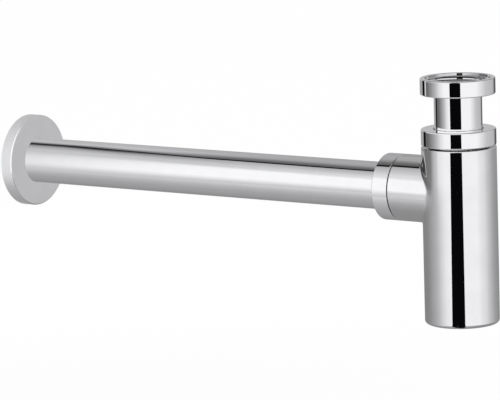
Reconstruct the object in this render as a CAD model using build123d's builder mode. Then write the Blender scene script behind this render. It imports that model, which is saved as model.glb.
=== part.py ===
"""Round bottle trap for a wash basin, with a straight pipe to the wall and its wall cover.

Waste water comes in through the upright tube, goes down close to the foot of the bottle, rises in the
ring-shaped space round the tube and leaves through the side branch and the wall pipe. The water that stays
in the bottle is the odour seal.

Frame: millimetres, +Z up, the wall towards +Y. The origin is the centre of the inlet nut's thread at its
first turn, where the basin's waste screws in. The inlet axis is the Z axis, and the outlet axis runs along
+Y below it.
"""
import os

from build123d import *

# Tube and pipe, the same drawn brass tube cut to two lengths
tube_radius = 16.0
tube_wall = 1.2
tube_edge = 0.3

# Bottle
body_height = 119.0
body_wall = 2.0
body_top_wall = 3.0
body_floor = 3.0
body_foot_fillet = 2.5
body_inner_fillet = 1.8
body_rim_fillet = 0.7

# Side branch
branch_wall = 2.5
branch_reach = 43.0
branch_drop = 30.5
branch_blend = 2.5
branch_rim_fillet = 0.5

# Compression joint: a threaded neck with a conical seat, a rubber wedge, a slip ring and a nut
neck_seal_space = 2.0
neck_wall = 2.2
neck_edge = 0.4
seat_depth = 3.5
seat_flare = 1.2
seal_depth = 5.0
seal_taper = 0.6
seal_collar_thickness = 1.0
seal_collar_inset = 0.6
seal_tube_clearance = 0.06
seal_seat_clearance = 0.05
slip_ring_thickness = 1.5
slip_ring_tube_clearance = 0.35
slip_ring_nut_clearance = 0.3

# Nuts
nut_floor = 2.2
nut_thread_clearance = 0.15
nut_tube_clearance = 0.75
nut_edge_fillet = 0.8
nut_hole_chamfer = 0.3
body_nut_wall = 4.65
body_nut_height = 11.0
body_nut_gap = 1.0
outlet_nut_wall = 2.15
outlet_nut_height = 11.7
outlet_nut_gap = 0.7

# Inlet nut, with a 1 1/4 inch pipe thread, 20.955 in radius at its roots, under a wide lead-in
inlet_nut_height = 11.0
inlet_thread_depth = 1.48
inlet_rim_width = 3.0
inlet_lead_in_width = 1.045
inlet_lead_in_depth = 1.2
inlet_relief_depth = 0.35
visible_tube = 23.0

# Inlet tube's flange, with a washer under it and the gasket on it
flange_width = 3.175
flange_thickness = 1.5
flange_clearance = 0.3
inlet_washer_thickness = 0.8
inlet_washer_tube_clearance = 0.3
gasket_thickness = 2.0
gasket_bore_clearance = 0.2
gasket_gap = 0.1
sump_gap = 12.0

# Cleanout plug, sunk in the foot of the bottle
plug_thread_clearance = 0.15
plug_thread_length = 3.3
plug_head_overlap = 2.9
plug_head_thickness = 2.6
plug_head_clearance = 0.3
plug_head_recess = 0.2
plug_head_gap = 0.4
plug_edge_chamfer = 0.4
plug_boss_wall = 2.3
plug_boss_gutter = 3.5
plug_socket_flats = 12.0
plug_socket_depth = 4.0
o_ring_width = 1.9
o_ring_round = 0.5
o_ring_side_clearance = 0.15
o_ring_groove_depth = 1.2

# Wall pipe
wall_pipe_length = 330.0
wall_pipe_insertion = 22.5
wall_pipe_stub = 4.0

# Wall cover: a drawn shell, open towards the wall, with a collar that holds a rubber grip ring
rosette_radius = 32.5
rosette_depth = 9.0
rosette_wall = 1.2
rosette_tube_clearance = 0.3
rosette_edge_fillet = 0.6
rosette_collar_wall = 1.0
rosette_collar_depth = 4.5
grip_ring_width = 2.6
grip_ring_length = 2.8
grip_ring_tube_clearance = 0.05
grip_ring_collar_clearance = 0.05
grip_ring_round = 0.6

# Places along the inlet axis, from the inlet nut's rim down
inlet_rim_z = inlet_lead_in_depth
inlet_nut_bottom_z = inlet_rim_z - inlet_nut_height
inlet_floor_z = inlet_nut_bottom_z + nut_floor
flange_bottom_z = inlet_floor_z + inlet_washer_thickness
flange_top_z = flange_bottom_z + flange_thickness
gasket_top_z = flange_top_z + gasket_thickness
body_nut_top_z = inlet_nut_bottom_z - visible_tube
body_nut_bottom_z = body_nut_top_z - body_nut_height
body_top_z = body_nut_bottom_z - body_nut_gap
body_bottom_z = body_top_z - body_height
outlet_z = body_top_z - branch_drop

# Places along the cleanout plug, from the bottle's foot up
plug_bottom_z = body_bottom_z + plug_head_recess
plug_head_top_z = plug_bottom_z + plug_head_thickness
plug_seat_z = plug_head_top_z + plug_head_gap
plug_top_z = plug_seat_z + plug_thread_length
tube_end_z = plug_top_z + sump_gap

# Places along the outlet axis, from the inlet axis towards the wall
outlet_nut_near_y = branch_reach + outlet_nut_gap
outlet_nut_far_y = outlet_nut_near_y + outlet_nut_height
wall_pipe_near_y = outlet_nut_far_y - wall_pipe_insertion
wall_pipe_far_y = wall_pipe_near_y + wall_pipe_length
rosette_back_y = wall_pipe_far_y - wall_pipe_stub
rosette_face_y = rosette_back_y - rosette_depth

# End faces of the two necks, which the nuts reach over
neck_end_setback = nut_floor + slip_ring_thickness + seal_collar_thickness
body_neck_end_z = body_nut_top_z - neck_end_setback
outlet_neck_end_y = outlet_nut_far_y - neck_end_setback

# Radii, from the tube outwards
tube_bore_radius = tube_radius - tube_wall
neck_bore_radius = tube_radius + neck_seal_space
neck_radius = neck_bore_radius + neck_wall
nut_bore_radius = neck_radius + nut_thread_clearance
nut_hole_radius = tube_radius + nut_tube_clearance
body_radius = nut_bore_radius + body_nut_wall
body_bore_radius = body_radius - body_wall
branch_radius = nut_bore_radius + outlet_nut_wall
branch_bore_radius = branch_radius - branch_wall

# Radii of the inlet nut, from the tube's flange outwards
flange_radius = tube_radius + flange_width
inlet_thread_crest_radius = flange_radius + flange_clearance
inlet_thread_root_radius = inlet_thread_crest_radius + inlet_thread_depth
inlet_relief_radius = inlet_thread_root_radius + inlet_relief_depth
inlet_mouth_radius = inlet_thread_root_radius + inlet_lead_in_width
inlet_nut_radius = inlet_mouth_radius + inlet_rim_width

# Radii of the cleanout plug, from the bottle's bore inwards
plug_boss_radius = body_bore_radius - plug_boss_gutter
plug_recess_radius = plug_boss_radius - plug_boss_wall
plug_head_radius = plug_recess_radius - plug_head_clearance
plug_thread_radius = plug_head_radius - plug_head_overlap
plug_stem_radius = plug_thread_radius - plug_thread_clearance
o_ring_radius = plug_thread_radius + o_ring_width
o_ring_groove_radius = o_ring_radius + o_ring_side_clearance

# Half sections are drawn as (radius, place along the axis), on a plane through each axis
inlet_section = Plane.XZ
inlet_axis = Axis.Z
outlet_section = Plane.XY.offset(outlet_z)
outlet_axis = Axis((0, 0, outlet_z), (0, 1, 0))
outlet_plane = Plane(origin=(0, 0, outlet_z), x_dir=(1, 0, 0), z_dir=(0, 1, 0))


def half_section(plane, outline):
    """Closed face through the given (radius, place) points."""
    with BuildSketch(plane) as section:
        with BuildLine():
            Polyline(*outline, close=True)
        make_face()
    return section.sketch


def tube_outline(near, far):
    """Half section of a straight length of tube."""
    return [(tube_bore_radius, near), (tube_radius, near), (tube_radius, far), (tube_bore_radius, far)]


def round_edges(part, radius):
    """Circular edges of one radius, lowest and nearest first."""
    edges = part.edges().filter_by(GeomType.CIRCLE)
    same = edges.filter_by(lambda edge: abs(edge.radius - radius) < 1e-4)
    return same.sort_by(lambda edge: edge.arc_center.Y + edge.arc_center.Z)


def neck_outline(end, length):
    """Half section of a threaded neck, from its end face back, with the cone that seats the seal."""
    return [
        (neck_bore_radius, end - length),
        (neck_bore_radius, end - seat_depth),
        (neck_bore_radius + seat_flare, end),
        (neck_radius - neck_edge, end),
        (neck_radius, end - neck_edge),
        (neck_radius, end - length),
    ]


def make_seal(section, axis, end):
    """Rubber wedge: a cone that fills the neck's seat, under a collar on the neck's end face."""
    bore = tube_radius + seal_tube_clearance
    cone = neck_bore_radius - seal_seat_clearance
    collar = neck_radius - seal_collar_inset
    outline = [
        (bore, end - seal_depth),
        (cone - seal_taper, end - seal_depth),
        (cone, end - seat_depth),
        (cone + seat_flare, end),
        (collar, end),
        (collar, end + seal_collar_thickness),
        (bore, end + seal_collar_thickness),
    ]
    with BuildPart() as seal:
        revolve(half_section(section, outline), axis=axis)
    return seal.part


def make_slip_ring(section, axis, end):
    """Flat ring between the rubber wedge and the nut, so that the turning nut doesn't drag the rubber."""
    near = end + seal_collar_thickness
    far = near + slip_ring_thickness
    bore = tube_radius + slip_ring_tube_clearance
    rim = nut_bore_radius - slip_ring_nut_clearance
    with BuildPart() as ring:
        revolve(half_section(section, [(bore, near), (rim, near), (rim, far), (bore, far)]), axis=axis)
    return ring.part


def make_compression_nut(section, axis, near, far, radius):
    """Plain round nut: a bore that runs on the neck's thread, and a floor that presses on the slip ring."""
    shoulder = far - nut_floor
    outline = [
        (nut_bore_radius, near),
        (radius, near),
        (radius, far),
        (nut_hole_radius, far),
        (nut_hole_radius, shoulder),
        (nut_bore_radius, shoulder),
    ]
    with BuildPart() as nut:
        revolve(half_section(section, outline), axis=axis)
        fillet(round_edges(nut.part, radius), radius=nut_edge_fillet)
        chamfer(round_edges(nut.part, nut_hole_radius)[-1], length=nut_hole_chamfer)
    return nut.part


def save(part, name):
    """Label a piece and write it under its own name."""
    part.label = name
    export_step(part, f"parts/{name}.step")


os.makedirs("parts", exist_ok=True)

# Water space of the bottle, down to its floor and round the boss that takes the plug's thread
with BuildPart() as bottle_space:
    bottle_space_outline = [
        (0, plug_top_z),
        (plug_boss_radius, plug_top_z),
        (plug_boss_radius, body_bottom_z + body_floor),
        (body_bore_radius, body_bottom_z + body_floor),
        (body_bore_radius, body_top_z - body_top_wall),
        (0, body_top_z - body_top_wall),
    ]
    revolve(half_section(inlet_section, bottle_space_outline), axis=inlet_axis)
    fillet(round_edges(bottle_space.part, body_bore_radius)[0], radius=body_inner_fillet)

# Bottle with its side branch, one piece: outer skin, necks, then everything that is hollow
with BuildPart() as trap_body:
    with BuildSketch(Plane.XY.offset(body_bottom_z)):
        Circle(body_radius)
    extrude(amount=body_height)
    with BuildSketch(outlet_plane):
        Circle(branch_radius)
    extrude(amount=branch_reach)

    # the seam where the branch runs into the bottle is the one edge that is neither round nor straight
    plain_edges = (GeomType.CIRCLE, GeomType.LINE)
    fillet(trap_body.edges().filter_by(lambda edge: edge.geom_type not in plain_edges), radius=branch_blend)
    fillet(round_edges(trap_body.part, body_radius)[0], radius=body_foot_fillet)
    fillet(trap_body.edges().group_by(Axis.Z)[-1], radius=body_rim_fillet)
    fillet(trap_body.edges().group_by(Axis.Y)[-1], radius=branch_rim_fillet)

    # threaded necks on the bottle's top wall and on the branch's end wall
    body_neck_length = body_neck_end_z - body_top_z + body_top_wall
    outlet_neck_length = outlet_neck_end_y - branch_reach + body_top_wall
    body_neck = half_section(inlet_section, neck_outline(body_neck_end_z, body_neck_length))
    revolve(body_neck, axis=inlet_axis)
    outlet_neck = half_section(outlet_section, neck_outline(outlet_neck_end_y, outlet_neck_length))
    revolve(outlet_neck, axis=outlet_axis)

    # water space, and the bores that lead into it through both necks
    add(bottle_space.part, mode=Mode.SUBTRACT)
    with BuildSketch(outlet_plane):
        Circle(branch_bore_radius)
    extrude(amount=branch_reach - body_top_wall, mode=Mode.SUBTRACT)
    with BuildSketch(Plane.XY.offset(body_top_z)):
        Circle(neck_bore_radius)
    extrude(amount=-body_top_wall, mode=Mode.SUBTRACT)
    with BuildSketch(outlet_plane.offset(branch_reach)):
        Circle(neck_bore_radius)
    extrude(amount=-body_top_wall, mode=Mode.SUBTRACT)

    # threaded hole for the plug, with a recess that hides the plug's head
    with BuildSketch(Plane.XY.offset(plug_top_z)):
        Circle(plug_thread_radius)
    extrude(amount=body_bottom_z - plug_top_z, mode=Mode.SUBTRACT)
    with BuildSketch(Plane.XY.offset(plug_seat_z)):
        Circle(plug_recess_radius)
    extrude(amount=body_bottom_z - plug_seat_z, mode=Mode.SUBTRACT)

# Plug: a flat head with a groove for the O-ring, a threaded stem and a hexagon socket
with BuildPart() as cleanout_plug:
    plug_outline = [
        (0, plug_bottom_z),
        (plug_head_radius - plug_edge_chamfer, plug_bottom_z),
        (plug_head_radius, plug_bottom_z + plug_edge_chamfer),
        (plug_head_radius, plug_head_top_z),
        (o_ring_groove_radius, plug_head_top_z),
        (o_ring_groove_radius, plug_head_top_z - o_ring_groove_depth),
        (plug_stem_radius, plug_head_top_z - o_ring_groove_depth),
        (plug_stem_radius, plug_top_z - plug_edge_chamfer),
        (plug_stem_radius - plug_edge_chamfer, plug_top_z),
        (0, plug_top_z),
    ]
    revolve(half_section(inlet_section, plug_outline), axis=inlet_axis)
    with BuildSketch(Plane.XY.offset(plug_bottom_z)):
        RegularPolygon(radius=plug_socket_flats / 2, side_count=6, major_radius=False)
    extrude(amount=plug_socket_depth, mode=Mode.SUBTRACT)

# O-ring, drawn as it is squeezed between its groove and the seat
with BuildPart() as cleanout_seal:
    o_ring_bottom_z = plug_head_top_z - o_ring_groove_depth
    o_ring_outline = [
        (plug_thread_radius, o_ring_bottom_z),
        (o_ring_radius, o_ring_bottom_z),
        (o_ring_radius, plug_seat_z),
        (plug_thread_radius, plug_seat_z),
    ]
    revolve(half_section(inlet_section, o_ring_outline), axis=inlet_axis)
    fillet(cleanout_seal.edges().filter_by(GeomType.CIRCLE), radius=o_ring_round)

# Inlet tube with its flange, long enough to end just above the bottle's foot
with BuildPart() as inlet_tube:
    inlet_tube_outline = [
        (tube_bore_radius, tube_end_z),
        (tube_radius, tube_end_z),
        (tube_radius, flange_bottom_z),
        (flange_radius, flange_bottom_z),
        (flange_radius, flange_top_z),
        (tube_bore_radius, flange_top_z),
    ]
    revolve(half_section(inlet_section, inlet_tube_outline), axis=inlet_axis)
    chamfer(inlet_tube.edges().group_by(Axis.Z)[0], length=tube_edge)

# Inlet nut: a lead-in, the waste's thread, and a wider relief where the flange and the gasket lie
with BuildPart() as inlet_nut:
    inlet_thread_start_z = gasket_top_z + gasket_gap
    inlet_nut_outline = [
        (nut_hole_radius, inlet_nut_bottom_z),
        (inlet_nut_radius, inlet_nut_bottom_z),
        (inlet_nut_radius, inlet_rim_z),
        (inlet_mouth_radius, inlet_rim_z),
        (inlet_thread_crest_radius, 0),
        (inlet_thread_crest_radius, inlet_thread_start_z),
        (inlet_relief_radius, inlet_thread_start_z),
        (inlet_relief_radius, inlet_floor_z),
        (nut_hole_radius, inlet_floor_z),
    ]
    revolve(half_section(inlet_section, inlet_nut_outline), axis=inlet_axis)
    fillet(round_edges(inlet_nut.part, inlet_nut_radius), radius=nut_edge_fillet)
    chamfer(round_edges(inlet_nut.part, nut_hole_radius)[0], length=nut_hole_chamfer)

# Washer between the inlet nut's floor and the flange
with BuildPart() as inlet_washer:
    washer_bore = tube_radius + inlet_washer_tube_clearance
    inlet_washer_outline = [
        (washer_bore, inlet_floor_z),
        (flange_radius, inlet_floor_z),
        (flange_radius, flange_bottom_z),
        (washer_bore, flange_bottom_z),
    ]
    revolve(half_section(inlet_section, inlet_washer_outline), axis=inlet_axis)

# Gasket on the flange, which the basin's waste presses down
with BuildPart() as inlet_gasket:
    gasket_bore = tube_bore_radius + gasket_bore_clearance
    inlet_gasket_outline = [
        (gasket_bore, flange_top_z),
        (flange_radius, flange_top_z),
        (flange_radius, gasket_top_z),
        (gasket_bore, gasket_top_z),
    ]
    revolve(half_section(inlet_section, inlet_gasket_outline), axis=inlet_axis)

# Wall pipe
with BuildPart() as wall_pipe:
    revolve(half_section(outlet_section, tube_outline(wall_pipe_near_y, wall_pipe_far_y)), axis=outlet_axis)
    chamfer(wall_pipe.edges().filter_by(GeomType.CIRCLE), length=tube_edge)

# Wall cover: face, rim and inner collar in one drawn wall
with BuildPart() as rosette:
    rosette_hole = tube_radius + rosette_tube_clearance
    collar_bore = tube_radius + grip_ring_tube_clearance + grip_ring_width + grip_ring_collar_clearance
    collar_end_y = rosette_face_y + rosette_wall + rosette_collar_depth
    rosette_outline = [
        (rosette_hole, rosette_face_y),
        (rosette_radius, rosette_face_y),
        (rosette_radius, rosette_back_y),
        (rosette_radius - rosette_wall, rosette_back_y),
        (rosette_radius - rosette_wall, rosette_face_y + rosette_wall),
        (collar_bore + rosette_collar_wall, rosette_face_y + rosette_wall),
        (collar_bore + rosette_collar_wall, collar_end_y),
        (collar_bore, collar_end_y),
        (collar_bore, rosette_face_y + rosette_wall),
        (rosette_hole, rosette_face_y + rosette_wall),
    ]
    revolve(half_section(outlet_section, rosette_outline), axis=outlet_axis)
    fillet(round_edges(rosette.part, rosette_radius)[0], radius=rosette_edge_fillet)

# Rubber ring in the wall cover's collar
with BuildPart() as rosette_grip_ring:
    grip_bore = tube_radius + grip_ring_tube_clearance
    grip_near_y = rosette_face_y + rosette_wall
    grip_ring_outline = [
        (grip_bore, grip_near_y),
        (grip_bore + grip_ring_width, grip_near_y),
        (grip_bore + grip_ring_width, grip_near_y + grip_ring_length),
        (grip_bore, grip_near_y + grip_ring_length),
    ]
    revolve(half_section(outlet_section, grip_ring_outline), axis=outlet_axis)
    fillet(rosette_grip_ring.edges().group_by(Axis.Y)[-1], radius=grip_ring_round)

save(trap_body.part, "trap_body")
save(cleanout_plug.part, "cleanout_plug")
save(cleanout_seal.part, "cleanout_seal")
save(inlet_tube.part, "inlet_tube")
save(inlet_nut.part, "inlet_nut")
save(inlet_washer.part, "inlet_washer")
save(inlet_gasket.part, "inlet_gasket")
save(make_seal(inlet_section, inlet_axis, body_neck_end_z), "upper_seal")
save(make_slip_ring(inlet_section, inlet_axis, body_neck_end_z), "upper_slip_ring")
body_nut = make_compression_nut(inlet_section, inlet_axis, body_nut_bottom_z, body_nut_top_z, body_radius)
save(body_nut, "body_nut")
save(make_seal(outlet_section, outlet_axis, outlet_neck_end_y), "outlet_seal")
save(make_slip_ring(outlet_section, outlet_axis, outlet_neck_end_y), "outlet_slip_ring")
outlet_nut = make_compression_nut(
    outlet_section, outlet_axis, outlet_nut_near_y, outlet_nut_far_y, branch_radius
)
save(outlet_nut, "outlet_nut")
save(wall_pipe.part, "wall_pipe")
save(rosette.part, "rosette")
save(rosette_grip_ring.part, "rosette_grip_ring")
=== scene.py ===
"""Chrome bottle trap for a wash basin, hung in a white light tent.

The trap's own frame is used all over: metres, +Z up along the inlet tube, the wall towards +Y. Outlines of
turned pieces are written in millimetres, as (radius, place along the axis). Places along the inlet are heights,
and places along the outlet are distances from the inlet tube's axis.
"""
import math
from collections import namedtuple

import bmesh
import bpy
from mathutils import Matrix, Vector


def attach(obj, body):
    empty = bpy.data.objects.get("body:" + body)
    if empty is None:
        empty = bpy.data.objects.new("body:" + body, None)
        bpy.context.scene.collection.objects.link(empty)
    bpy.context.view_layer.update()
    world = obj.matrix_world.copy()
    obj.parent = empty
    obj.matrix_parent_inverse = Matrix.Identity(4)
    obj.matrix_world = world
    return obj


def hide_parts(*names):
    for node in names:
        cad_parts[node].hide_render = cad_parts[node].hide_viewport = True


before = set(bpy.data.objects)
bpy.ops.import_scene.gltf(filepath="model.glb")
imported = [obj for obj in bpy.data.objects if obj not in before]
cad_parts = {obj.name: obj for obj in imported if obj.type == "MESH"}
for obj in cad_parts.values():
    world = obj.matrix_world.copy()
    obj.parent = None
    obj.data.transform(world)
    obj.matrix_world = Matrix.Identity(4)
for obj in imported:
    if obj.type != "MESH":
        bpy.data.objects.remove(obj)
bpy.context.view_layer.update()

MM = 0.001

# Steps of a full turn, and the distance in metres within which corners are merged
SIDES = 256
MERGE = 1e-7

# Radii, in millimetres
TUBE = 16.0
TUBE_BORE = 14.8
FLANGE = 19.175
NUT_HOLE = 16.75
NUT_BORE = 20.35
BOTTLE = 25.0
BOTTLE_BORE = 23.0
BRANCH = 22.5
BRANCH_BORE = 20.0
NECK_BORE = 18.0
NECK_CREST = 20.2
NECK_ROOT = 19.3
MOUTH = 22.0
THREAD_TAPER = 21.45
THREAD_RELIEF = 21.305
PIPE_THREAD_CREST = 19.475
PIPE_THREAD_ROOT = 20.955
COVER = 32.5
COVER_HOLE = 16.3
COVER_LIP = 16.08

# Places and lengths along the axes, in millimetres
OUTLET_Z = -75.3
BOTTLE_TOP = -44.8
BOTTLE_FOOT = -163.8
NECK_TOP = -37.9
BRANCH_END = 43.0
BRANCH_NECK_END = 50.3
NECK_MARGIN = 3.5
INLET_NUT_FLOOR = -7.6
INLET_THREAD_END = -3.2
BODY_NUT = (-43.8, -32.8)
OUTLET_NUT = (43.7, 55.4)
NUT_FLOOR = 2.2
COVER_FACE = 349.9

# Roundings, in millimetres
EDGE_ROUND = 0.8
SMALL_ROUND = 0.3
COVER_ROUND = 1.0
FOOT_ROUND = 2.5
TOP_ROUND = 0.7
BRANCH_ROUND = 0.5

# How far bottle and branch flow into each other, in millimetres, and how much more of that lies on the bottle
BLEND_AT_TOP = 4.0
BLEND_AT_SIDE = 2.3
BLEND_LEAN = 2.0

# Thread: its pitch and how deep its ridge is sunk, in millimetres, half the ridge's width at its foot and its
# top as shares of the pitch, and its steps in a turn
THREAD_PITCH = 2.309
RIDGE_SUNK = 0.15
RIDGE_FOOT = 0.46
RIDGE_TOP = 0.09
THREAD_SIDES = 96

# How near a point has to lie to a ring or a surface to belong to it, in millimetres
ON_RING = 0.001
ON_SURFACE = 0.02
ON_SKIN = (-0.03, 0.9)

# Near-black metal for the hidden threads and nut bores: painted shade in the gaps between nuts and bottle and
# in the inlet nut's mouth
GAP_SHADE_METAL = (0.14, 0.135, 0.125, 1)
BLACK = (0.002, 0.002, 0.0025, 1)
DARK = (0.02, 0.02, 0.02, 1)
PALE = (0.6, 0.6, 0.6, 1)


class Spindle:
    """An axis that pieces are turned about."""

    def __init__(self, centre, along):
        self.centre = Vector(centre) * MM
        self.along = Vector(along)

    def point(self, radius, place):
        return self.centre + (Vector((1, 0, 0)) * radius + self.along * place) * MM

    def measure(self, point):
        """Radius and place of a point, in millimetres."""
        arm = (point - self.centre) / MM
        place = arm.dot(self.along)
        return (arm - self.along * place).length, place

    def radial(self, point):
        """Unit vector from the axis out to a point."""
        arm = point - self.centre
        return (arm - self.along * arm.dot(self.along)).normalized()


INLET = Spindle((0, 0, 0), (0, 0, 1))
OUTLET = Spindle((0, 0, OUTLET_Z), (0, 1, 0))


def make_object(name, bm):
    """Object at the origin that holds a finished bmesh."""
    mesh = bpy.data.meshes.new(name)
    bm.to_mesh(mesh)
    bm.free()
    piece = bpy.data.objects.new(name, mesh)
    bpy.context.scene.collection.objects.link(piece)
    return piece


def spin_outline(bm, spindle, outline):
    """Closed outline turned all the way round, with its faces outwards."""
    corners = [bm.verts.new(spindle.point(*corner)) for corner in outline]
    sides = [bm.edges.new(pair) for pair in zip(corners, corners[1:] + corners[:1])]
    bmesh.ops.spin(
        bm, geom=corners + sides, cent=spindle.centre, axis=spindle.along, angle=math.tau, steps=SIDES,
        use_merge=True,
    )
    bmesh.ops.remove_doubles(bm, verts=bm.verts, dist=MERGE)
    bmesh.ops.recalc_face_normals(bm, faces=bm.faces)


def round_ring(bm, spindle, ring, radius, segments=5):
    """Rounds the circular edge that runs through one corner of the outline."""
    def on_ring(vert):
        return all(abs(here - there) < ON_RING for here, there in zip(spindle.measure(vert.co), ring))

    edges = [edge for edge in bm.edges if all(on_ring(vert) for vert in edge.verts)]
    bmesh.ops.bevel(
        bm, geom=edges, offset=radius * MM, offset_type="OFFSET", segments=segments, profile=0.5,
        affect="EDGES", material=-1,
    )


def cut_thread(bm, spindle, low, high, root, crest):
    """Helical ridge that stands on the root radius and ends flush with the planes low and high."""
    half_foot, half_top = RIDGE_FOOT * THREAD_PITCH, RIDGE_TOP * THREAD_PITCH
    sunk = root + math.copysign(RIDGE_SUNK, root - crest)
    start = low - THREAD_PITCH
    turns = (high - low) / THREAD_PITCH + 2
    steps = round(THREAD_SIDES * turns)
    profile = [(sunk, -half_foot), (crest, -half_top), (crest, half_top), (sunk, half_foot)]
    ridge = bmesh.new()
    corners = [ridge.verts.new(spindle.point(radius, start + place)) for radius, place in profile]
    sides = [ridge.edges.new(pair) for pair in zip(corners, corners[1:] + corners[:1])]
    bmesh.ops.spin(
        ridge, geom=corners + sides, cent=spindle.centre, axis=spindle.along,
        dvec=spindle.along * (THREAD_PITCH * turns / steps * MM), angle=math.tau * turns, steps=steps,
    )
    for place, way in ((low, 1), (high, -1)):
        bmesh.ops.bisect_plane(
            ridge, geom=ridge.verts[:] + ridge.edges[:] + ridge.faces[:], dist=MERGE,
            plane_co=spindle.point(0, place), plane_no=spindle.along * way, clear_inner=True,
        )
    bmesh.ops.holes_fill(ridge, edges=[edge for edge in ridge.edges if edge.is_boundary])
    bmesh.ops.recalc_face_normals(ridge, faces=ridge.faces)
    mesh = bpy.data.meshes.new("ridge")
    ridge.to_mesh(mesh)
    ridge.free()
    bm.from_mesh(mesh)
    bpy.data.meshes.remove(mesh)


def shade(piece, angle=32):
    """Smooth faces that meet at sharp corners, with the flats kept flat for the mirror finish."""
    piece.data.shade_smooth()
    piece.data.set_sharp_from_angle(angle=math.radians(angle))
    normals = piece.modifiers.new("flat_flats", "WEIGHTED_NORMAL")
    normals.keep_sharp = True
    normals.weight = 100


def turned_piece(name, spindle, outline, rounds=(), thread=None):
    """Turned piece. Rounds are (corner, radius) pairs, thread is the two ends, root and crest of its ridge."""
    bm = bmesh.new()
    spin_outline(bm, spindle, outline)
    for ring, radius in rounds:
        round_ring(bm, spindle, ring, radius)
    if thread:
        cut_thread(bm, spindle, *thread)
    piece = make_object(name, bm)
    shade(piece)
    return piece


def make_inlet_nut():
    """Round union nut, with a taper that leads into its thread and a relief between thread and floor."""
    foot, floor, thread_end, thread_start, rim = -9.8, INLET_NUT_FLOOR, INLET_THREAD_END, -0.8, 1.2
    taper_foot, relief_start = thread_start + 0.2, thread_end - 0.35
    outline = [
        (NUT_HOLE + SMALL_ROUND, foot), (BOTTLE, foot), (BOTTLE, rim), (MOUTH, rim), (THREAD_TAPER, taper_foot),
        (PIPE_THREAD_ROOT, thread_start), (PIPE_THREAD_ROOT, thread_end), (THREAD_RELIEF, relief_start),
        (THREAD_RELIEF, floor), (NUT_HOLE, floor), (NUT_HOLE, foot + SMALL_ROUND),
    ]
    rounds = [
        ((BOTTLE, rim), EDGE_ROUND), ((BOTTLE, foot), EDGE_ROUND), ((MOUTH, rim), SMALL_ROUND),
        ((THREAD_RELIEF, floor), SMALL_ROUND),
    ]
    thread = (thread_end, thread_start, PIPE_THREAD_ROOT, PIPE_THREAD_CREST)
    return turned_piece("turned_inlet_nut", INLET, outline, rounds, thread)


def make_inlet_tube():
    """Tube that dips into the bottle, with a flange at its head."""
    end, flange_low, flange_top = -145.3, -6.8, -5.3
    outline = [
        (TUBE_BORE, end), (TUBE, end), (TUBE, flange_low), (FLANGE, flange_low), (FLANGE, flange_top),
        (TUBE_BORE, flange_top),
    ]
    rounds = [(corner, SMALL_ROUND) for corner in ((TUBE, end), (TUBE_BORE, end), (FLANGE, flange_top))]
    return turned_piece("drawn_inlet_tube", INLET, outline, rounds)


def make_compression_nut(name, spindle, places, radius):
    """Plain round nut that presses a seal into a neck with its floor."""
    near, far = places
    floor = far - NUT_FLOOR
    outline = [
        (NUT_BORE, near), (radius, near), (radius, far), (NUT_HOLE + SMALL_ROUND, far),
        (NUT_HOLE, far - SMALL_ROUND), (NUT_HOLE, floor), (NUT_BORE, floor),
    ]
    rounds = [((radius, near), EDGE_ROUND), ((radius, far), EDGE_ROUND), ((NUT_BORE, near), SMALL_ROUND)]
    return turned_piece(name, spindle, outline, rounds)


def make_body_nut():
    """Nut on the bottle's neck."""
    return make_compression_nut("turned_body_nut", INLET, BODY_NUT, BOTTLE)


def make_outlet_nut():
    """Nut on the branch's neck."""
    return make_compression_nut("turned_outlet_nut", OUTLET, OUTLET_NUT, BRANCH)


def make_wall_pipe():
    """Pipe from the branch to the wall."""
    near, far = 32.9, 362.9
    outline = [(TUBE_BORE, near), (TUBE, near), (TUBE, far), (TUBE_BORE, far)]
    rounds = [(corner, SMALL_ROUND) for corner in outline]
    return turned_piece("drawn_wall_pipe", OUTLET, outline, rounds)


def make_wall_cover():
    """Hollow round cover, with a thin lip close round the pipe and a collar that holds the grip ring."""
    face, back, wall, collar = COVER_FACE, 358.9, 1.2, 18.7
    inner_face, inside, lip_end, collar_end = face + wall, COVER - wall, face + 0.3, face + 5.7
    outline = [
        (COVER_LIP, face), (COVER, face), (COVER, back), (inside, back), (inside, inner_face),
        (collar + 1, inner_face), (collar + 1, collar_end), (collar, collar_end), (collar, inner_face),
        (COVER_HOLE, inner_face), (COVER_HOLE, lip_end + 0.1), (COVER_LIP, lip_end),
    ]
    rounds = [
        ((COVER, face), COVER_ROUND), ((COVER_LIP, face), 0.12), ((COVER, back), 0.2),
        ((inside, inner_face), 0.4),
    ]
    return turned_piece("spun_wall_cover", OUTLET, outline, rounds)


def make_grip_ring():
    """Rubber ring that holds the wall cover on the pipe."""
    near, far, bore, outside = 351.1, 353.9, 16.05, 18.65
    outline = [(bore, near), (outside, near), (outside, far), (bore, far)]
    rounds = [((outside, far), 0.6), ((bore, far), 0.6)]
    return turned_piece("moulded_grip_ring", OUTLET, outline, rounds)


def skin_gap(point):
    """Tells how far a point is outside the skin of bottle and branch, which flow into each other."""
    off_bottle = (INLET.measure(point)[0] - BOTTLE) * BLEND_LEAN
    if point.y < 0:
        return off_bottle
    off_branch = OUTLET.measure(point)[0] - BRANCH
    sideways = OUTLET.radial(point).x
    reach = BLEND_AT_TOP + (BLEND_AT_SIDE - BLEND_AT_TOP) * sideways * sideways
    overlap = max(reach - abs(off_bottle - off_branch), 0) / reach
    return min(off_bottle, off_branch) - overlap * overlap * reach / 4


def skin_slope(point):
    """Direction in which a point leaves the skin, as long as what the gap grows by in a millimetre."""
    step = 0.05
    sides = [side * step * MM for side in (Vector((1, 0, 0)), Vector((0, 1, 0)), Vector((0, 0, 1)))]
    return Vector((skin_gap(point + side) - skin_gap(point - side)) / (2 * step) for side in sides)


def is_skin(point):
    """Says whether a point lies on the wall side of the bottle's outside, or on the outside of its branch."""
    if point.y < -1e-6:
        return False
    off_skin = min(INLET.measure(point)[0] - BOTTLE, OUTLET.measure(point)[0] - BRANCH)
    return ON_SKIN[0] < off_skin < ON_SKIN[1]


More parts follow.
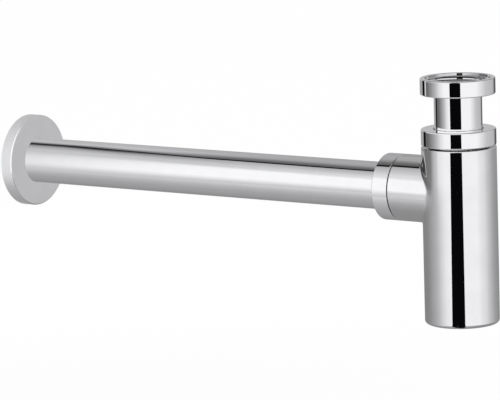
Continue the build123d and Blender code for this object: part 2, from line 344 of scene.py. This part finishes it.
def flow_seam(bm):
    """Cuts the skin round the branch into small faces and lets bottle and branch flow into each other."""
    skin = [face for face in bm.faces if all(is_skin(vert.co) for vert in face.verts)]
    cut = list({part for face in skin for part in (*face.verts, *face.edges, face)})
    seam_end = 38
    levels = [((0, 0, (OUTLET_Z + step) * MM), (0, 0, 1)) for step in range(-32, 31)]
    levels += [((0, step * MM, 0), (0, 1, 0)) for step in range(1, seam_end)]
    levels += [((step * 1.5 * MM, 0, 0), (1, 0, 0)) for step in range(-15, 16)]
    for place, way in levels:
        cut = bmesh.ops.bisect_plane(bm, geom=cut, dist=MERGE, plane_co=place, plane_no=way)["geom"]
    for vert in {part for part in cut if isinstance(part, bmesh.types.BMVert)}:
        if is_skin(vert.co) and vert.co.y < seam_end * MM:
            for _ in range(5):
                slope = skin_slope(vert.co)
                vert.co -= slope * (skin_gap(vert.co) / slope.length_squared * MM)


def skin_directions(point):
    """Directions that the bottle may face at a point, one for each of its surfaces that passes there."""
    found = []
    for spindle, radii in (
        (INLET, (BOTTLE, BOTTLE_BORE, NECK_BORE, NECK_ROOT)),
        (OUTLET, (BRANCH, BRANCH_BORE, NECK_BORE, NECK_ROOT)),
    ):
        radius = spindle.measure(point)[0]
        if any(abs(radius - size) < ON_SURFACE for size in radii):
            found.append(spindle.radial(point))
    for spindle, radius, end, size in (
        (INLET, BOTTLE, BOTTLE_FOOT + FOOT_ROUND, FOOT_ROUND),
        (INLET, BOTTLE, BOTTLE_TOP - TOP_ROUND, TOP_ROUND),
        (OUTLET, BRANCH, BRANCH_END - BRANCH_ROUND, BRANCH_ROUND),
    ):
        middle = spindle.centre + (spindle.radial(point) * (radius - size) + spindle.along * end) * MM
        arm = point - middle
        if abs(arm.length / MM - size) < ON_SURFACE:
            found.append(arm.normalized())
    if point.y > 0 and abs(skin_gap(point)) < ON_SURFACE / 2:
        found.append(skin_slope(point).normalized())
    return found


def polish_normals(mesh):
    """Gives the bottle the exact directions of its surfaces, so that it mirrors without facets."""
    directions = [skin_directions(vert.co) for vert in mesh.vertices]
    normals = [None] * len(mesh.loops)
    for face in mesh.polygons:
        for loop in face.loop_indices:
            best, most = face.normal, 0.9  # a face turned further away than this has an edge there
            for direction in directions[mesh.loops[loop].vertex_index]:
                match = direction.dot(face.normal)
                if abs(match) > most:
                    best, most = direction * math.copysign(1, match), abs(match)
            normals[loop] = best.copy()
    mesh.normals_split_custom_set(normals)


def make_bottle():
    """The bottle's own solid, merged, with its branch flowing into it and threads cut on both necks."""
    bm = bmesh.new()
    bm.from_mesh(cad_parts["trap_body"].data)
    bmesh.ops.remove_doubles(bm, verts=bm.verts, dist=1e-6)
    flow_seam(bm)
    necks = ((INLET, BOTTLE_TOP, NECK_TOP), (OUTLET, BRANCH_END, BRANCH_NECK_END))
    for spindle, low, high in necks:
        for vert in bm.verts:
            radius, place = spindle.measure(vert.co)
            if abs(radius - NECK_CREST) < ON_SURFACE and place > low - NECK_MARGIN:
                vert.co -= spindle.radial(vert.co) * (radius - NECK_ROOT) * MM
    for spindle, low, high in necks:
        cut_thread(bm, spindle, low, high, NECK_ROOT, NECK_CREST)
    piece = make_object("cast_bottle", bm)
    piece.data.shade_smooth()
    polish_normals(piece.data)
    return piece


class Nodes:
    """Short names for building one node tree."""

    def __init__(self, tree):
        self.tree = tree
        tree.nodes.clear()

    def add(self, kind, **settings):
        node = self.tree.nodes.new(kind)
        for key, value in settings.items():
            setattr(node, key, value)
        return node

    def link(self, source, target):
        self.tree.links.new(source, target)

    def feed(self, source, target):
        """Links an output to an input, or sets the input to a value."""
        if isinstance(source, bpy.types.NodeSocket):
            self.link(source, target)
        else:
            target.default_value = source

    def place(self):
        """Object coordinates, which are the trap's own frame."""
        return self.add("ShaderNodeTexCoord").outputs["Object"]

    def axes(self):
        """Object coordinates one by one."""
        split = self.add("ShaderNodeSeparateXYZ")
        self.link(self.place(), split.inputs[0])
        return split.outputs

    def math(self, operation, *values):
        node = self.add("ShaderNodeMath", operation=operation)
        for value, socket in zip(values, node.inputs):
            self.feed(value, socket)
        return node.outputs[0]

    def reach(self, across, along):
        """Distance from the axis that both coordinates are measured from."""
        squares = [self.math("MULTIPLY", side, side) for side in (across, along)]
        return self.math("SQRT", self.math("ADD", *squares))

    def noise(self, place, scale, detail):
        node = self.add("ShaderNodeTexNoise")
        self.link(place, node.inputs["Vector"])
        self.feed(scale, node.inputs["Scale"])
        self.feed(detail, node.inputs["Detail"])
        return node.outputs[0]

    def darken(self, tone, share):
        """Tone that is darker by a share of itself."""
        node = self.add("ShaderNodeVectorMath", operation="SCALE")
        self.link(tone, node.inputs[0])
        self.link(self.math("SUBTRACT", 1.0, share), node.inputs["Scale"])
        return node.outputs[0]

    def blend(self, share, low, high):
        """Colour that goes from low to high."""
        node = self.add("ShaderNodeMix", data_type="RGBA")
        for value, socket in ((share, node.inputs[0]), (low, node.inputs[6]), (high, node.inputs[7])):
            self.feed(value, socket)
        return node.outputs[2]

    def mix(self, share, first, second):
        """Shader that goes from the first to the second."""
        node = self.add("ShaderNodeMixShader")
        for value, socket in zip((share, first, second), node.inputs):
            self.link(value, socket)
        return node.outputs[0]

    def rise(self, value, low, high, to_low=0.0, to_high=1.0, interpolation="SMOOTHSTEP"):
        """Step of a value between two limits, smooth unless it is to be linear."""
        node = self.add("ShaderNodeMapRange", interpolation_type=interpolation)
        self.link(value, node.inputs[0])
        for socket, number in zip(node.inputs[1:5], (low, high, to_low, to_high)):
            socket.default_value = number
        return node.outputs[0]

    def band(self, value, rising, falling):
        """1 between two steps, each as the pair of values over which it goes."""
        return self.math("MULTIPLY", self.rise(value, *rising), self.rise(value, *falling, 1.0, 0.0))

    def ramp(self, value, stops):
        """Colour ramp through (place, colour) stops, in order."""
        node = self.add("ShaderNodeValToRGB")
        elements = node.color_ramp.elements
        while len(elements) < len(stops):
            elements.new(1.0)
        for element, (place, colour) in zip(elements, stops):
            element.position = place
            element.color = colour
        self.link(value, node.inputs[0])
        return node.outputs[0]


def new_group(name, inputs, outputs):
    """Empty node group with named sockets, as (name, kind, default) and (name, kind)."""
    tree = bpy.data.node_groups.new(name, "ShaderNodeTree")
    for title, kind, value in inputs:
        socket = tree.interface.new_socket(title, in_out="INPUT", socket_type=kind)
        socket.default_value = value
    for title, kind in outputs:
        tree.interface.new_socket(title, in_out="OUTPUT", socket_type=kind)
    nodes = Nodes(tree)
    return nodes, nodes.add("NodeGroupInput").outputs, nodes.add("NodeGroupOutput").inputs


def new_material(name):
    """Material with an empty node tree."""
    material = bpy.data.materials.new(name)
    material.use_nodes = True
    return material, Nodes(material.node_tree)


def make_plating_group():
    """Plated metal: soft clouds in its tone, a fine polishing haze, and a shallow ripple."""
    nodes, given, result = new_group(
        "plated_surface",
        [
            ("Tone", "NodeSocketColor", (0.9, 0.9, 0.9, 1)),
            ("Cloud Size", "NodeSocketFloat", 60.0),
            ("Cloud Depth", "NodeSocketFloat", 0.03),
            ("Roughness", "NodeSocketFloat", 0.03),
            ("Haze", "NodeSocketFloat", 0.02),
        ],
        [("Color", "NodeSocketColor"), ("Roughness", "NodeSocketFloat"), ("Height", "NodeSocketFloat")],
    )
    place = nodes.place()
    clouds = nodes.noise(place, given["Cloud Size"], 3)
    dulling = nodes.math("MULTIPLY", nodes.rise(clouds, 0.35, 0.7), given["Cloud Depth"])
    haze = nodes.math("MULTIPLY", nodes.rise(nodes.noise(place, 1400, 2), 0.4, 0.75), given["Haze"])
    nodes.link(nodes.darken(given["Tone"], dulling), result["Color"])
    nodes.link(nodes.math("ADD", given["Roughness"], haze), result["Roughness"])
    nodes.link(clouds, result["Height"])
    return nodes.tree


def make_moulded_group():
    """Moulded rubber or plastic: speckled tone, matt patches and a fine grain."""
    nodes, given, result = new_group(
        "moulded_surface",
        [
            ("Tone", "NodeSocketColor", (0.5, 0.5, 0.5, 1)),
            ("Grain Size", "NodeSocketFloat", 900.0),
            ("Speckle", "NodeSocketFloat", 0.1),
            ("Roughness", "NodeSocketFloat", 0.5),
        ],
        [("Color", "NodeSocketColor"), ("Roughness", "NodeSocketFloat"), ("Height", "NodeSocketFloat")],
    )
    place = nodes.place()
    grain = nodes.noise(place, given["Grain Size"], 4)
    speckle = nodes.math("MULTIPLY", nodes.rise(grain, 0.35, 0.7), given["Speckle"])
    worn = nodes.rise(nodes.noise(place, 120, 2), 0.3, 0.7, -0.06, 0.06)
    nodes.link(nodes.darken(given["Tone"], speckle), result["Color"])
    nodes.link(nodes.math("ADD", given["Roughness"], worn), result["Roughness"])
    nodes.link(grain, result["Height"])
    return nodes.tree


def new_overlay_group(name):
    """Group that changes a finish in places, with a point's x, y, z and height over the outlet's axis."""
    nodes, given, result = new_group(
        name,
        [("Color", "NodeSocketColor", (0.9, 0.9, 0.9, 1)), ("Roughness", "NodeSocketFloat", 0.03)],
        [("Color", "NodeSocketColor"), ("Roughness", "NodeSocketFloat")],
    )
    x, y, z = nodes.axes()
    return nodes, given, result, (x, y, z, nodes.math("SUBTRACT", z, OUTLET_Z * MM))


def make_gap_shade_group():
    """Threaded necks and nut bores: rougher as unpolished metal, and near-black as painted shade in the gaps
    between nuts and bottle and in the inlet nut's mouth.
    """
    nodes, given, result, (x, y, z, rise) = new_overlay_group("raw_inside")
    from_inlet, from_outlet = nodes.reach(x, y), nodes.reach(x, rise)

    def gap_shade_mask(reach, radius, along, near, far):
        """Mask within a radius, between two fades along the axis, all in millimetres."""
        inside = nodes.rise(reach, (radius - 0.05) * MM, radius * MM, 1.0, 0.0)
        fades = [[place * MM for place in fade] for fade in (near, far)]
        return nodes.math("MULTIPLY", inside, nodes.band(along, *fades))

    def neck(reach, along, end, nut):
        """Mask of a neck and of its nut's bore, from the neck's shoulder to a little over the nut's floor."""
        floor = nut[1] - NUT_FLOOR
        return gap_shade_mask(reach, NUT_BORE + 0.1, along, (end + 0.04, end + 0.1), (floor + 0.2, floor + 0.5))

    necks = nodes.math(
        "MAXIMUM", neck(from_inlet, z, BOTTLE_TOP, BODY_NUT), neck(from_outlet, y, BRANCH_END, OUTLET_NUT),
    )
    mouth = gap_shade_mask(
        from_inlet, THREAD_TAPER, z, (INLET_NUT_FLOOR - 0.1, INLET_NUT_FLOOR),
        (INLET_THREAD_END - 0.1, INLET_THREAD_END + 0.2),
    )
    # Painted shade: the masked threads and bores turn near-black, and a little rougher
    gap_shade = nodes.math("MAXIMUM", necks, mouth)
    nodes.link(nodes.blend(gap_shade, given["Color"], GAP_SHADE_METAL), result["Color"])
    nodes.link(nodes.math("ADD", given["Roughness"], nodes.math("MULTIPLY", gap_shade, 0.25)), result["Roughness"])
    return nodes.tree


def make_edge_group():
    """Burnished edge round the face of the wall cover, where the satin finish is worn bright."""
    nodes, given, result, (x, y, _, rise) = new_overlay_group("burnished_edge")
    outer = nodes.rise(nodes.reach(x, rise), (COVER - COVER_ROUND) * MM, (COVER - 0.7) * MM)
    front = nodes.rise(y, (COVER_FACE + 0.7) * MM, (COVER_FACE + COVER_ROUND) * MM, 1.0, 0.0)
    polish = nodes.math("MULTIPLY", nodes.math("MULTIPLY", outer, front), 0.26)
    nodes.link(given["Color"], result["Color"])
    nodes.link(nodes.math("SUBTRACT", given["Roughness"], polish), result["Roughness"])
    return nodes.tree


def surface_material(name, group, values, bump, metallic=0.0, over=None):
    """Material with the colour, roughness and relief of a surface group, which a second group may change."""
    material, nodes = new_material(name)
    surface = nodes.add("ShaderNodeGroup", node_tree=group)
    for title, value in values.items():
        surface.inputs[title].default_value = value
    shader = nodes.add("ShaderNodeBsdfPrincipled")
    shader.inputs["Metallic"].default_value = metallic
    relief = nodes.add("ShaderNodeBump")
    relief.inputs["Strength"].default_value = 1.0
    relief.inputs["Distance"].default_value = bump
    output = nodes.add("ShaderNodeOutputMaterial")
    nodes.link(surface.outputs["Height"], relief.inputs["Height"])
    if over:
        changed = nodes.add("ShaderNodeGroup", node_tree=over)
        nodes.link(surface.outputs["Color"], changed.inputs["Color"])
        nodes.link(surface.outputs["Roughness"], changed.inputs["Roughness"])
        surface = changed
    nodes.link(surface.outputs["Color"], shader.inputs["Base Color"])
    nodes.link(surface.outputs["Roughness"], shader.inputs["Roughness"])
    nodes.link(relief.outputs["Normal"], shader.inputs["Normal"])
    nodes.link(shader.outputs["BSDF"], output.inputs["Surface"])
    return material


def make_finishes():
    """One material for each of the part's finishes."""
    plated, moulded, gap_shade, worn = make_plating_group(), make_moulded_group(), make_gap_shade_group(), make_edge_group()

    def chrome(name, tone, cloud_depth, roughness, haze, bump, over=None):
        values = {
            "Tone": tone, "Cloud Size": 70.0, "Cloud Depth": cloud_depth, "Roughness": roughness, "Haze": haze,
        }
        return surface_material(name, plated, values, bump, 1.0, over)

    def mould(name, tone, grain, speckle, roughness, bump):
        values = {"Tone": tone, "Grain Size": grain, "Speckle": speckle, "Roughness": roughness}
        return surface_material(name, moulded, values, bump)

    # The casting and the nuts carry the painted shade of the gap group in their threads and bores
    return {
        "body_chrome": chrome("polished_casting_chrome", (0.9, 0.9, 0.905, 1), 0.04, 0.012, 0.004, 1e-6, gap_shade),
        "tube_chrome": chrome("drawn_tube_chrome", (0.9, 0.9, 0.91, 1), 0.02, 0.01, 0.003, 5e-7),
        "nut_chrome": chrome("turned_nut_chrome", (0.9, 0.9, 0.91, 1), 0.02, 0.01, 0.003, 5e-7, gap_shade),
        "cover_chrome": chrome("satin_cover_chrome", (0.93, 0.93, 0.935, 1), 0.03, 0.36, 0.04, 5e-7, worn),
        "plug_chrome": chrome("plug_chrome", (0.88, 0.88, 0.89, 1), 0.04, 0.06, 0.05, 1e-6),
        "grey_rubber": mould("grey_sealing_rubber", (0.2, 0.2, 0.195, 1), 1500.0, 0.2, 0.6, 3e-5),
        "white_plastic": mould("white_slip_plastic", (0.82, 0.82, 0.8, 1), 600.0, 0.04, 0.35, 5e-6),
        "black_rubber": mould("black_sealing_rubber", (0.03, 0.03, 0.032, 1), 1200.0, 0.3, 0.55, 3e-5),
    }


# Pieces in sight: what makes them, the node they replace, the body they ride on and their slot
IN_SIGHT = [
    (make_inlet_nut, "inlet_nut", "inlet_nut", "nut_chrome"),
    (make_inlet_tube, "inlet_tube", "inlet_tube", "tube_chrome"),
    (make_body_nut, "body_nut", "body_nut", "nut_chrome"),
    (make_outlet_nut, "outlet_nut", "outlet_nut", "nut_chrome"),
    (make_wall_pipe, "wall_pipe", "wall_pipe", "tube_chrome"),
    (make_wall_cover, "rosette", "rosette", "cover_chrome"),
    (make_grip_ring, "rosette_grip_ring", "rosette", "black_rubber"),
    (make_bottle, "trap_body", "trap_body", "body_chrome"),
]

# Pieces inside, which keep their shape from the part, and their finish
INSIDE = {
    "cleanout_plug": "plug_chrome",
    "inlet_gasket": "grey_rubber",
    "inlet_washer": "white_plastic",
    "upper_slip_ring": "white_plastic",
    "outlet_slip_ring": "white_plastic",
    "upper_seal": "black_rubber",
    "outlet_seal": "black_rubber",
    "cleanout_seal": "black_rubber",
}

# The wall pipe and its cover are kept out of the other pieces' reflections, as in the photograph
UNMIRRORED = ("wall_pipe", "rosette", "rosette_grip_ring")


def dress_part():
    """Builds the pieces in sight and gives those inside their finish."""
    finishes = make_finishes()
    for make, node, body, slot in IN_SIGHT:
        piece = make()
        piece.data.materials.append(finishes[slot])
        piece.visible_glossy = node not in UNMIRRORED
        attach(piece, body)
        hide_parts(node)
    for node, slot in INSIDE.items():
        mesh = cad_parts[node].data
        mesh.materials.clear()
        mesh.materials.append(finishes[slot])


# Size of the innermost tent, how much wider the next one is, and where the floor lies and the lamps point
TENT_RADIUS = 0.79
TENT_ROOF = 0.524
TENT_GROUND = -0.439
TENT_STEP = 0.01
FLOOR_Z = -0.45
LAMP_AIM = Vector((0, 0.1, -0.08))

TENT_SIDES = 96
TENT_STRENGTH = 1.2

# Tone of a tent's wall by azimuth as seen from the trap, in degrees from +X towards +Y
BRIGHT_WALL = [
    (10, 0.12), (16, 0.43), (74, 0.45), (78.5, 0.003), (90, 0.003), (93, 0.88), (262, 0.86), (300, 0.55),
    (350, 0.42), (356, 0.14),
]
TOP_WALL = [
    (16, 0.43), (74, 0.45), (85, 0.12), (121, 0.15), (131, 0.34), (153, 0.36), (172, 0.45), (190, 0.6),
    (245, 0.66), (274, 0.6), (300, 0.25), (350, 0.2),
]
GRADED_WALL = [
    (6, 0.06), (16, 0.3), (74, 0.34), (78.5, 0.003), (90, 0.003), (92.5, 0.13), (105, 0.13), (124, 0.27),
    (140, 0.44), (154, 0.69), (168, 0.84), (266, 0.84), (280, 0.71), (303, 0.5), (345, 0.41), (354, 0.1),
]
BRANCH_WALL = [
    (16, 0.3), (70, 0.3), (80, 0.04), (112, 0.05), (124, 0.35), (134, 0.8), (142, 0.88), (262, 0.86),
    (300, 0.55), (350, 0.42),
]
BRANCH_LOW_WALL = [(16, 0.3), (74, 0.26), (90, 0.13), (113, 0.14), *BRANCH_WALL[4:]]
CASTING_WALL = [
    (16, 0.25), (74, 0.24), (90, 0.15), (113, 0.18), (126, 0.42), (138, 0.55), (144, 0.72), (151, 0.76),
    (166, 0.83), (262, 0.82), (276, 0.72), (290, 0.65), (302, 0.51), (315, 0.42), (330, 0.32), (350, 0.27),
]
FOOT_WALL = [
    (16, 0.22), (78, 0.21), (95, 0.24), (109, 0.3), (122, 0.36), (135, 0.44), (149, 0.6), (163, 0.74),
    (175, 0.79), (262, 0.81), (276, 0.71), (290, 0.64), (302, 0.51), (315, 0.41), (330, 0.31), (350, 0.26),
]
EVEN_WALL = [(60, 0.44), (120, 0.6), (142, 0.88), (190, 0.95), (240, 0.92), (262, 0.7), (300, 0.5), (350, 0.44)]
PIPE_WALL = [
    (16, 0.3), (40, 0.34), (56, 0.43), (71, 0.49), (113, 0.5), (119, 0.6), (124, 0.72), (130, 0.84),
    (134, 0.88), (262, 0.86), (300, 0.55), (350, 0.35),
]
LOW_WALL = [(33, 0.27), (88, 0.28), (96, 0.5), (200, 0.56), (330, 0.4)]

# A wall from the top down, with the two heights between which each tone goes over into the next
NUT_WALL = (BRIGHT_WALL, -0.07, -0.095, GRADED_WALL)

# Dark fold in the roof: tone by distance from its sharp edge, along most of it and at its end over the cover
FOLD = [
    (-0.48, 0.66), (-0.25, 0.52), (-0.06, 0.41), (-0.015, 0.37), (-0.005, 0.005), (0.05, 0.005), (0.08, 0.1),
    (0.16, 0.135), (0.22, 0.185), (0.3, 0.27), (0.37, 0.34), (0.6, 0.36),
]
FOLD_END = [
    (-0.4, 0.52), (-0.24, 0.4), (-0.17, 0.34), (-0.1, 0.18), (-0.04, 0.03), (0.04, 0.01), (0.07, 0.17),
    (0.12, 0.26), (0.19, 0.49), (0.35, 0.47), (0.5, 0.4),
]
FOLD_REACH = (-0.5, 0.7)

# Tone of the groundsheet by place along +X, which is distance from the camera's side
EVEN_GROUND = [(-0.55, 0.58), (-0.4, 0.5), (-0.27, 0.42), (-0.08, 0.33), (0.1, 0.29), (0.3, 0.24)]
CASTING_GROUND = [(-0.53, 0.49), (-0.28, 0.33), (-0.09, 0.25), (0.25, 0.23)]

# Upright stripe: its first azimuth at the foot and at the head, its last azimuth, its two ends and its colour
Stripe = namedtuple("Stripe", "first_foot first_head last foot head colour")
SEAM = Stripe(185.5, 185.5, 218, -0.172, -0.05, BLACK)
LIGHT_LINE = Stripe(92, 92, 98.5, -0.137, -0.095, PALE)

# Last azimuth of a stripe that runs out over the groundsheet
SHEET_STRIPE_END = 221

# Tents from the innermost outwards. Each lights its own pieces, and its fold is a place along +X, or None
Tent = namedtuple("Tent", "name wall stripes fold ground pieces")
TENTS = [
    Tent(
        "mouth_tent", (TOP_WALL, 0.16, 0.08, *NUT_WALL),
        (SEAM, LIGHT_LINE, Stripe(191, 191, 213, -0.05, 0.5, DARK)), 0, EVEN_GROUND,
        ("turned_inlet_nut",),
    ),
    Tent(
        "nut_tent", NUT_WALL, (SEAM, LIGHT_LINE), 0, EVEN_GROUND,
        ("turned_body_nut", "moulded_grip_ring", *INSIDE),
    ),
    Tent(
        "tube_tent", NUT_WALL, (Stripe(171, 171, 224, -0.2, -0.05, BLACK),), 0, EVEN_GROUND,
        ("drawn_inlet_tube",),
    ),
    Tent(
        "bottle_tent",
        (BRANCH_WALL, 0.06, -0.02, BRANCH_LOW_WALL, -0.13, -0.16, CASTING_WALL, -0.185, -0.23, FOOT_WALL),
        (Stripe(176, 184, 218.5, -0.44, -0.155, BLACK),), 0.03, CASTING_GROUND,
        ("cast_bottle",),
    ),
    Tent("cover_tent", (EVEN_WALL,), (), None, EVEN_GROUND, ("spun_wall_cover",)),
    Tent(
        "pipe_tent", (PIPE_WALL, -0.07, -0.45, LOW_WALL), (), 0, EVEN_GROUND,
        ("drawn_wall_pipe", "turned_outlet_nut"),
    ),
]


def grey(tone):
    """Colour of a tone, a shade cooler than neutral."""
    return tone * 0.995, tone * 0.995, min(1.0, tone * 1.01), 1


def around(nodes, across, along):
    """Share of a full turn that a direction has made from +X."""
    return nodes.math("FRACT", nodes.math("MULTIPLY", nodes.math("ARCTAN2", along, across), 1 / math.tau))


def tone_ramp(nodes, share, stops, low, high):
    """Ramp through tones that are given by place, where the share goes from the place low to the place high."""
    return nodes.ramp(share, [((place - low) / (high - low), grey(tone)) for place, tone in stops])


def wall_ramp(nodes, turn, stops):
    """Ramp that closes on itself, as the wall of the tent does."""
    (first, first_tone), (last, last_tone) = stops[0], stops[-1]
    joint = last_tone + (first_tone - last_tone) * (360 - last) / (360 - last + first)
    return tone_ramp(nodes, turn, [(0, joint), *stops, (360, joint)], 0, 360)


def glow(name, build, sheer):
    """Light-giving material with a colour built from Object coordinates. Sheer cloth lets light through."""
    material, nodes = new_material(name)
    emission = nodes.add("ShaderNodeEmission")
    emission.inputs["Strength"].default_value = TENT_STRENGTH
    nodes.link(build(nodes, *nodes.axes()), emission.inputs["Color"])
    surface = emission.outputs[0]
    if sheer:
        both = nodes.add("ShaderNodeAddShader")
        nodes.link(surface, both.inputs[0])
        nodes.link(nodes.add("ShaderNodeBsdfTransparent").outputs[0], both.inputs[1])
        surface = both.outputs[0]
    nodes.link(surface, nodes.add("ShaderNodeOutputMaterial").inputs["Surface"])
    material.cycles.emission_sampling = "NONE"
    return material


def upright_stripe(nodes, turn, z, stripe):
    """Share of an upright stripe whose first edge may lean."""
    foot, head = stripe.foot, stripe.head
    first = nodes.rise(z, foot, head, stripe.first_foot / 360, stripe.first_head / 360, "LINEAR")
    after_first = nodes.rise(nodes.math("SUBTRACT", turn, first), -0.0003, 0.0003)
    before_last = nodes.rise(turn, (stripe.last - 0.1) / 360, (stripe.last + 0.1) / 360, 1.0, 0.0)
    across = nodes.math("MULTIPLY", after_first, before_last)
    return nodes.math("MULTIPLY", across, nodes.band(z, (foot - 0.001, foot), (head, head + 0.001)))


def roof_tone(nodes, x, y, fold):
    """Tone of the roof by distance from the sharp edge of its fold, which swings outwards at its end."""
    lean = nodes.rise(y, 0.45, 0.6, fold - 0.115, fold - 0.075, "LINEAR")
    swing = nodes.rise(y, 0.6, 0.76, 0.0, 0.19, "LINEAR")
    from_edge = nodes.math("SUBTRACT", x, nodes.math("ADD", lean, swing))
    share = nodes.rise(from_edge, *FOLD_REACH, interpolation="LINEAR")
    along, end = (tone_ramp(nodes, share, stops, *FOLD_REACH) for stops in (FOLD, FOLD_END))
    return nodes.blend(nodes.rise(y, 0.56, 0.73), along, end)


def cloth_tone(tent):
    """White cloth, brightest towards the camera, grey behind, with its stripes and the roof's dark fold."""
    def build(nodes, x, y, z):
        turn = around(nodes, x, y)
        *above, lowest = tent.wall
        tone = wall_ramp(nodes, turn, lowest)
        for upper, high, low in reversed(list(zip(above[0::3], above[1::3], above[2::3]))):
            tone = nodes.blend(nodes.rise(z, low, high), tone, wall_ramp(nodes, turn, upper))
        if tent.fold is not None:
            under_roof = nodes.rise(z, 0.3, 0.52)
            tone = nodes.blend(under_roof, tone, roof_tone(nodes, x, y, tent.fold))
        for stripe in tent.stripes:
            tone = nodes.blend(upright_stripe(nodes, turn, z, stripe), tone, stripe.colour)
        return tone

    return build


def ground_tone(tent):
    """Groundsheet that falls off away from the camera, with a stripe that reaches it run out over it."""
    low, high = tent.ground[0][0], tent.ground[-1][0]

    def build(nodes, x, y, z):
        share = nodes.math("DIVIDE", nodes.math("SUBTRACT", x, low), high - low)
        tone = tone_ramp(nodes, share, tent.ground, low, high)
        for stripe in tent.stripes:
            if stripe.foot <= TENT_GROUND:
                first = stripe.first_foot
                spread = Stripe(first, first, SHEET_STRIPE_END, -1, 0, stripe.colour)
                tone = nodes.blend(upright_stripe(nodes, around(nodes, x, y), z, spread), tone, stripe.colour)
        return tone

    return build


def hang_cloth(name, bm, material, pieces):
    """Cloth that shows in the chrome only, casts no shadow and lights the named pieces alone."""
    cloth = make_object(name, bm)
    cloth.data.materials.append(material)
    cloth.visible_camera = False
    cloth.visible_diffuse = False
    cloth.visible_shadow = False
    lit = bpy.data.collections.new(name + "_lights")
    for piece in pieces:
        lit.objects.link(bpy.data.objects[piece])
    cloth.light_linking.receiver_collection = lit


def make_tents():
    """Round tents, one inside the other, each with a flat roof and a groundsheet. The outermost isn't sheer."""
    for place, tent in enumerate(TENTS):
        sheer = tent is not TENTS[-1]
        radius = TENT_RADIUS + TENT_STEP * place
        roof, floor = TENT_ROOF + 0.1 * TENT_STEP * place, TENT_GROUND - 0.1 * TENT_STEP * place
        bm = bmesh.new()
        wall = [bm.verts.new(point) for point in ((radius, 0, floor), (radius, 0, roof), (0, 0, roof))]
        sides = [bm.edges.new(pair) for pair in zip(wall, wall[1:])]
        bmesh.ops.spin(
            bm, geom=wall + sides, cent=(0, 0, 0), axis=(0, 0, 1), angle=math.tau, steps=TENT_SIDES,
            use_merge=True,
        )
        bmesh.ops.remove_doubles(bm, verts=bm.verts, dist=1e-6)
        hang_cloth(tent.name, bm, glow(tent.name, cloth_tone(tent), sheer), tent.pieces)
        bm = bmesh.new()
        bmesh.ops.create_circle(bm, cap_ends=True, segments=TENT_SIDES, radius=radius)
        bmesh.ops.translate(bm, verts=bm.verts, vec=(0, 0, floor))
        sheet = tent.name + "_groundsheet"
        hang_cloth(sheet, bm, glow(sheet, ground_tone(tent), sheer), tent.pieces)


def make_studio():
    """Tents, floor, soft lamps and the white surround."""
    make_tents()
    make_floor()
    make_lamp("key_lamp", (-1.3, -1.5, 1.6), 1.4, 22)
    make_lamp("fill_lamp", (1.4, -0.6, 1.4), 1.6, 12)
    make_world()


def seen_directly(nodes):
    """1 for what is seen straight, mirrored or through something clear, and 0 for light that spreads."""
    path = nodes.add("ShaderNodeLightPath").outputs
    mirrored = nodes.math("MAXIMUM", path["Is Glossy Ray"], path["Is Transmission Ray"])
    return nodes.math("MAXIMUM", path["Is Camera Ray"], mirrored)


def make_floor():
    """Pale floor that takes the part's shadow, and lets the part's underside be seen from below."""
    bm = bmesh.new()
    bmesh.ops.create_grid(bm, x_segments=1, y_segments=1, size=4)
    bmesh.ops.translate(bm, verts=bm.verts, vec=(0, 0, FLOOR_Z))
    floor = make_object("studio_floor", bm)
    floor.visible_glossy = False
    material, nodes = new_material("pale_floor")
    cloth = nodes.add("ShaderNodeBsdfDiffuse")
    cloth.inputs["Color"].default_value = (0.96, 0.96, 0.96, 1)
    white = nodes.add("ShaderNodeEmission").outputs[0]
    reach = nodes.add("ShaderNodeVectorMath", operation="LENGTH")
    nodes.link(nodes.place(), reach.inputs[0])
    share = nodes.rise(reach.outputs["Value"], 0.9, 1.6, 0.6, 0.97)
    upper = nodes.mix(nodes.math("MULTIPLY", seen_directly(nodes), share), cloth.outputs[0], white)
    clear = nodes.add("ShaderNodeBsdfTransparent").outputs[0]
    surface = nodes.mix(nodes.add("ShaderNodeNewGeometry").outputs["Backfacing"], upper, clear)
    nodes.link(surface, nodes.add("ShaderNodeOutputMaterial").inputs["Surface"])
    floor.data.materials.append(material)


def make_lamp(name, place, size, power):
    """Soft square lamp aimed at the part, not mirrored in the chrome."""
    lamp = bpy.data.lights.new(name, "AREA")
    lamp.size = size
    lamp.energy = power
    holder = bpy.data.objects.new(name, lamp)
    holder.location = place
    holder.rotation_euler = (LAMP_AIM - Vector(place)).to_track_quat("-Z", "Y").to_euler()
    holder.visible_glossy = False
    bpy.context.scene.collection.objects.link(holder)


def make_world():
    """White surround for what is seen directly, and a plain soft light for the rest."""
    world = bpy.data.worlds.new("white_surround")
    world.use_nodes = True
    nodes = Nodes(world.node_tree)
    background = nodes.add("ShaderNodeBackground")
    background.inputs["Color"].default_value = (1, 1, 1, 1)
    nodes.link(nodes.rise(seen_directly(nodes), 0.0, 1.0, 0.75, 1.0), background.inputs["Strength"])
    nodes.link(background.outputs[0], nodes.add("ShaderNodeOutputWorld").inputs["Surface"])
    bpy.context.scene.world = world


def make_camera():
    """Long lens at the photograph's viewing angle, a little above the outlet axis."""
    place = Vector((-1.8657, -1.0818, 0.2880))
    right = Vector((0.55172, -0.83343, -0.03143))
    up = Vector((0.15645, 0.06640, 0.98545))
    back = Vector((-0.81922, -0.54861, 0.16703))
    lens = bpy.data.cameras.new("camera")
    lens.sensor_fit = "HORIZONTAL"
    lens.sensor_width = 36
    lens.lens = 236.92
    camera = bpy.data.objects.new("camera", lens)
    turn = Matrix((right, up, back)).transposed()
    camera.matrix_world = Matrix.Translation(place) @ turn.to_4x4()
    bpy.context.scene.collection.objects.link(camera)
    bpy.context.scene.camera = camera


dress_part()
make_studio()
make_camera()
bpy.context.scene.view_settings.view_transform = "Standard"
